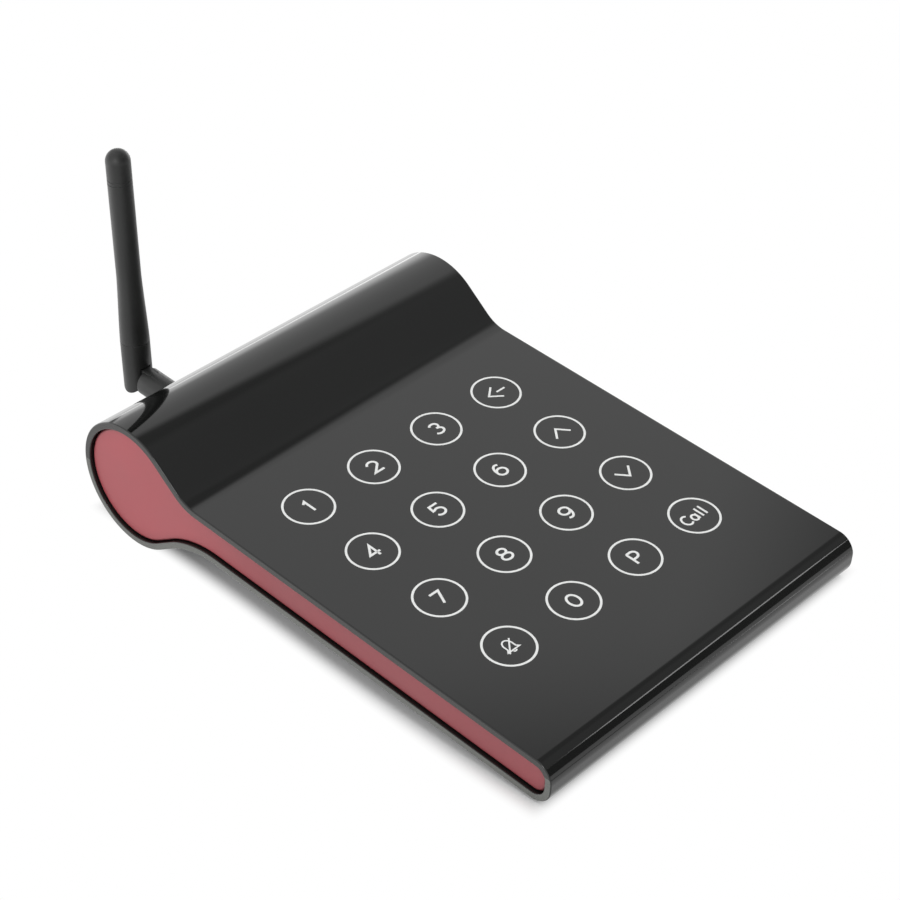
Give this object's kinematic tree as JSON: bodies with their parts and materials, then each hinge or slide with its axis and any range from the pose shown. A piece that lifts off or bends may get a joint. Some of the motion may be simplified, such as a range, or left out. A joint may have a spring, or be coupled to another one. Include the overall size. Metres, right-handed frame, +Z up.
{
  "type": "guest pager keypad transmitter",
  "caption": "Counter-top guest pager keypad: a thin sloping touch panel with a round roll along its rear edge, side panels and a folding antenna.",
  "frame": {"origin": "middle of the bounding box, on the counter that the feet stand on", "axes": "+X to the right as the user sees the keys, +Y from the front edge to the roll and the antenna at the rear, +Z up from the counter"},
  "size_m": [0.129, 0.2087, 0.1041],
  "materials": {
    "case_gloss": "high gloss black, touch panel face",
    "case_lower": "gloss black",
    "end_panel": "satin wine red",
    "rubber": "matte",
    "antenna_plastic": "fine matte black",
    "film": "clear adhesive film, drawn solid",
    "board": "green solder mask",
    "copper": "plated copper",
    "chip": "moulded epoxy",
    "socket": "cream nylon",
    "cable": "white flat cable",
    "can": "tinned steel",
    "capacitor": "blue sleeve",
    "inlet": "moulded black",
    "nickel": "nickel plate",
    "display": "grey digit block",
    "brass": "gold-plated brass",
    "screw": "black zinc",
    "pin_steel": "turned steel"
  },
  "bodies": {
    "case": {"upper_shell": "case_gloss", "lower_shell": "case_lower", "left_end_panel": "end_panel", "right_end_panel": "end_panel", "bonding_film": "film", "sensing_discs": "copper", "touch_board": "board", "touch_controller": "chip", "touch_socket": "socket", "flat_cable": "cable", "main_socket": "socket", "main_board": "board", "microcontroller": "chip", "radio_module": "can", "crystal": "can", "capacitors": "capacitor", "buzzer": "chip", "dc_inlet": "inlet", "dc_contact": "nickel", "digit_display": "display", "display_carrier": "board", "display_screws": "screw", "board_screws": "screw", "case_screws": "screw", "front_left_foot": "rubber", "front_right_foot": "rubber", "rear_left_foot": "rubber", "rear_right_foot": "rubber", "antenna_jack": "brass", "jack_washer": "nickel", "jack_nut": "brass", "antenna_nut": "brass"},
    "swivel": {"antenna_base": "antenna_plastic", "antenna_contact": "brass"},
    "blade": {"hinge_pin": "pin_steel", "antenna_fork": "antenna_plastic", "antenna_sleeve": "antenna_plastic", "antenna_cap": "antenna_plastic", "antenna_whip": "brass"}
  },
  "joints": [
    {"name": "antenna_swivel", "type": "hinge", "parent": "case", "child": "swivel", "pos_m": [-0.028, 0.08075, 0.02337], "axis": [0, 0.9959, 0.0905], "range_deg": [-90, 90]},
    {"name": "antenna_fold", "type": "hinge", "parent": "swivel", "child": "blade", "pos_m": [-0.028, 0.09987, 0.02511], "axis": [-1, 0, 0], "range_deg": [-3.4, 86.6]}
  ]
}
